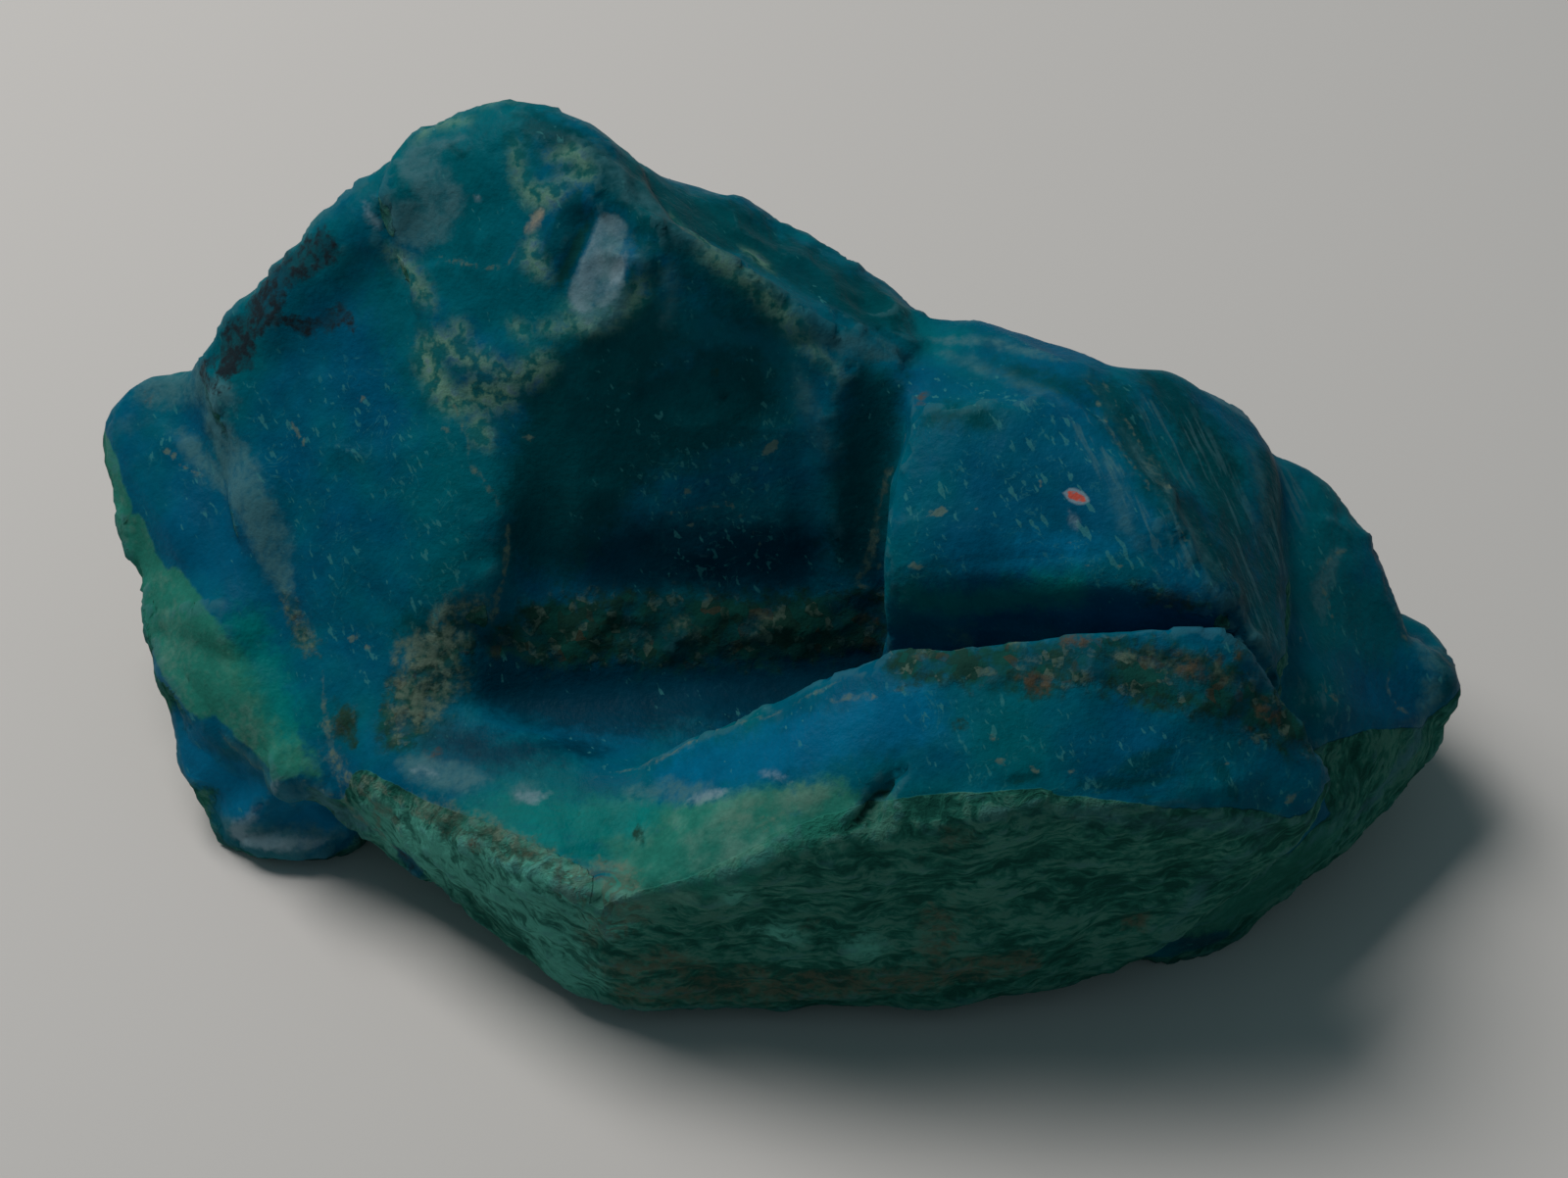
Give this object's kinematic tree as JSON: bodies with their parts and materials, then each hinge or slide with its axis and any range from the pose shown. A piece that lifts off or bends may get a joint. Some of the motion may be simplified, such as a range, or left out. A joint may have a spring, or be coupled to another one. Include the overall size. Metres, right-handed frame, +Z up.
{
  "type": "raw chrysocolla specimen",
  "caption": "Rough blue-green mineral specimen with a worn peak, an open hollow, a bladed front ridge and stepped shoulders, lying on a flat broken face.",
  "frame": {"origin": "middle of the bounding box's bottom, on the surface that the stone lies on", "axes": "+X along the stone's length, from the green wing to the tail; +Y from the bladed front to the back; +Z up from the flat resting face"},
  "size_m": [0.0813, 0.0438, 0.0382],
  "materials": {
    "stone": "broken mineral: waxy deep blue and teal faces, dull green crust, tan-brown matrix in the seams, dusty grey edges"
  },
  "bodies": {
    "root": {"chrysocolla": "stone"}
  },
  "joints": []
}
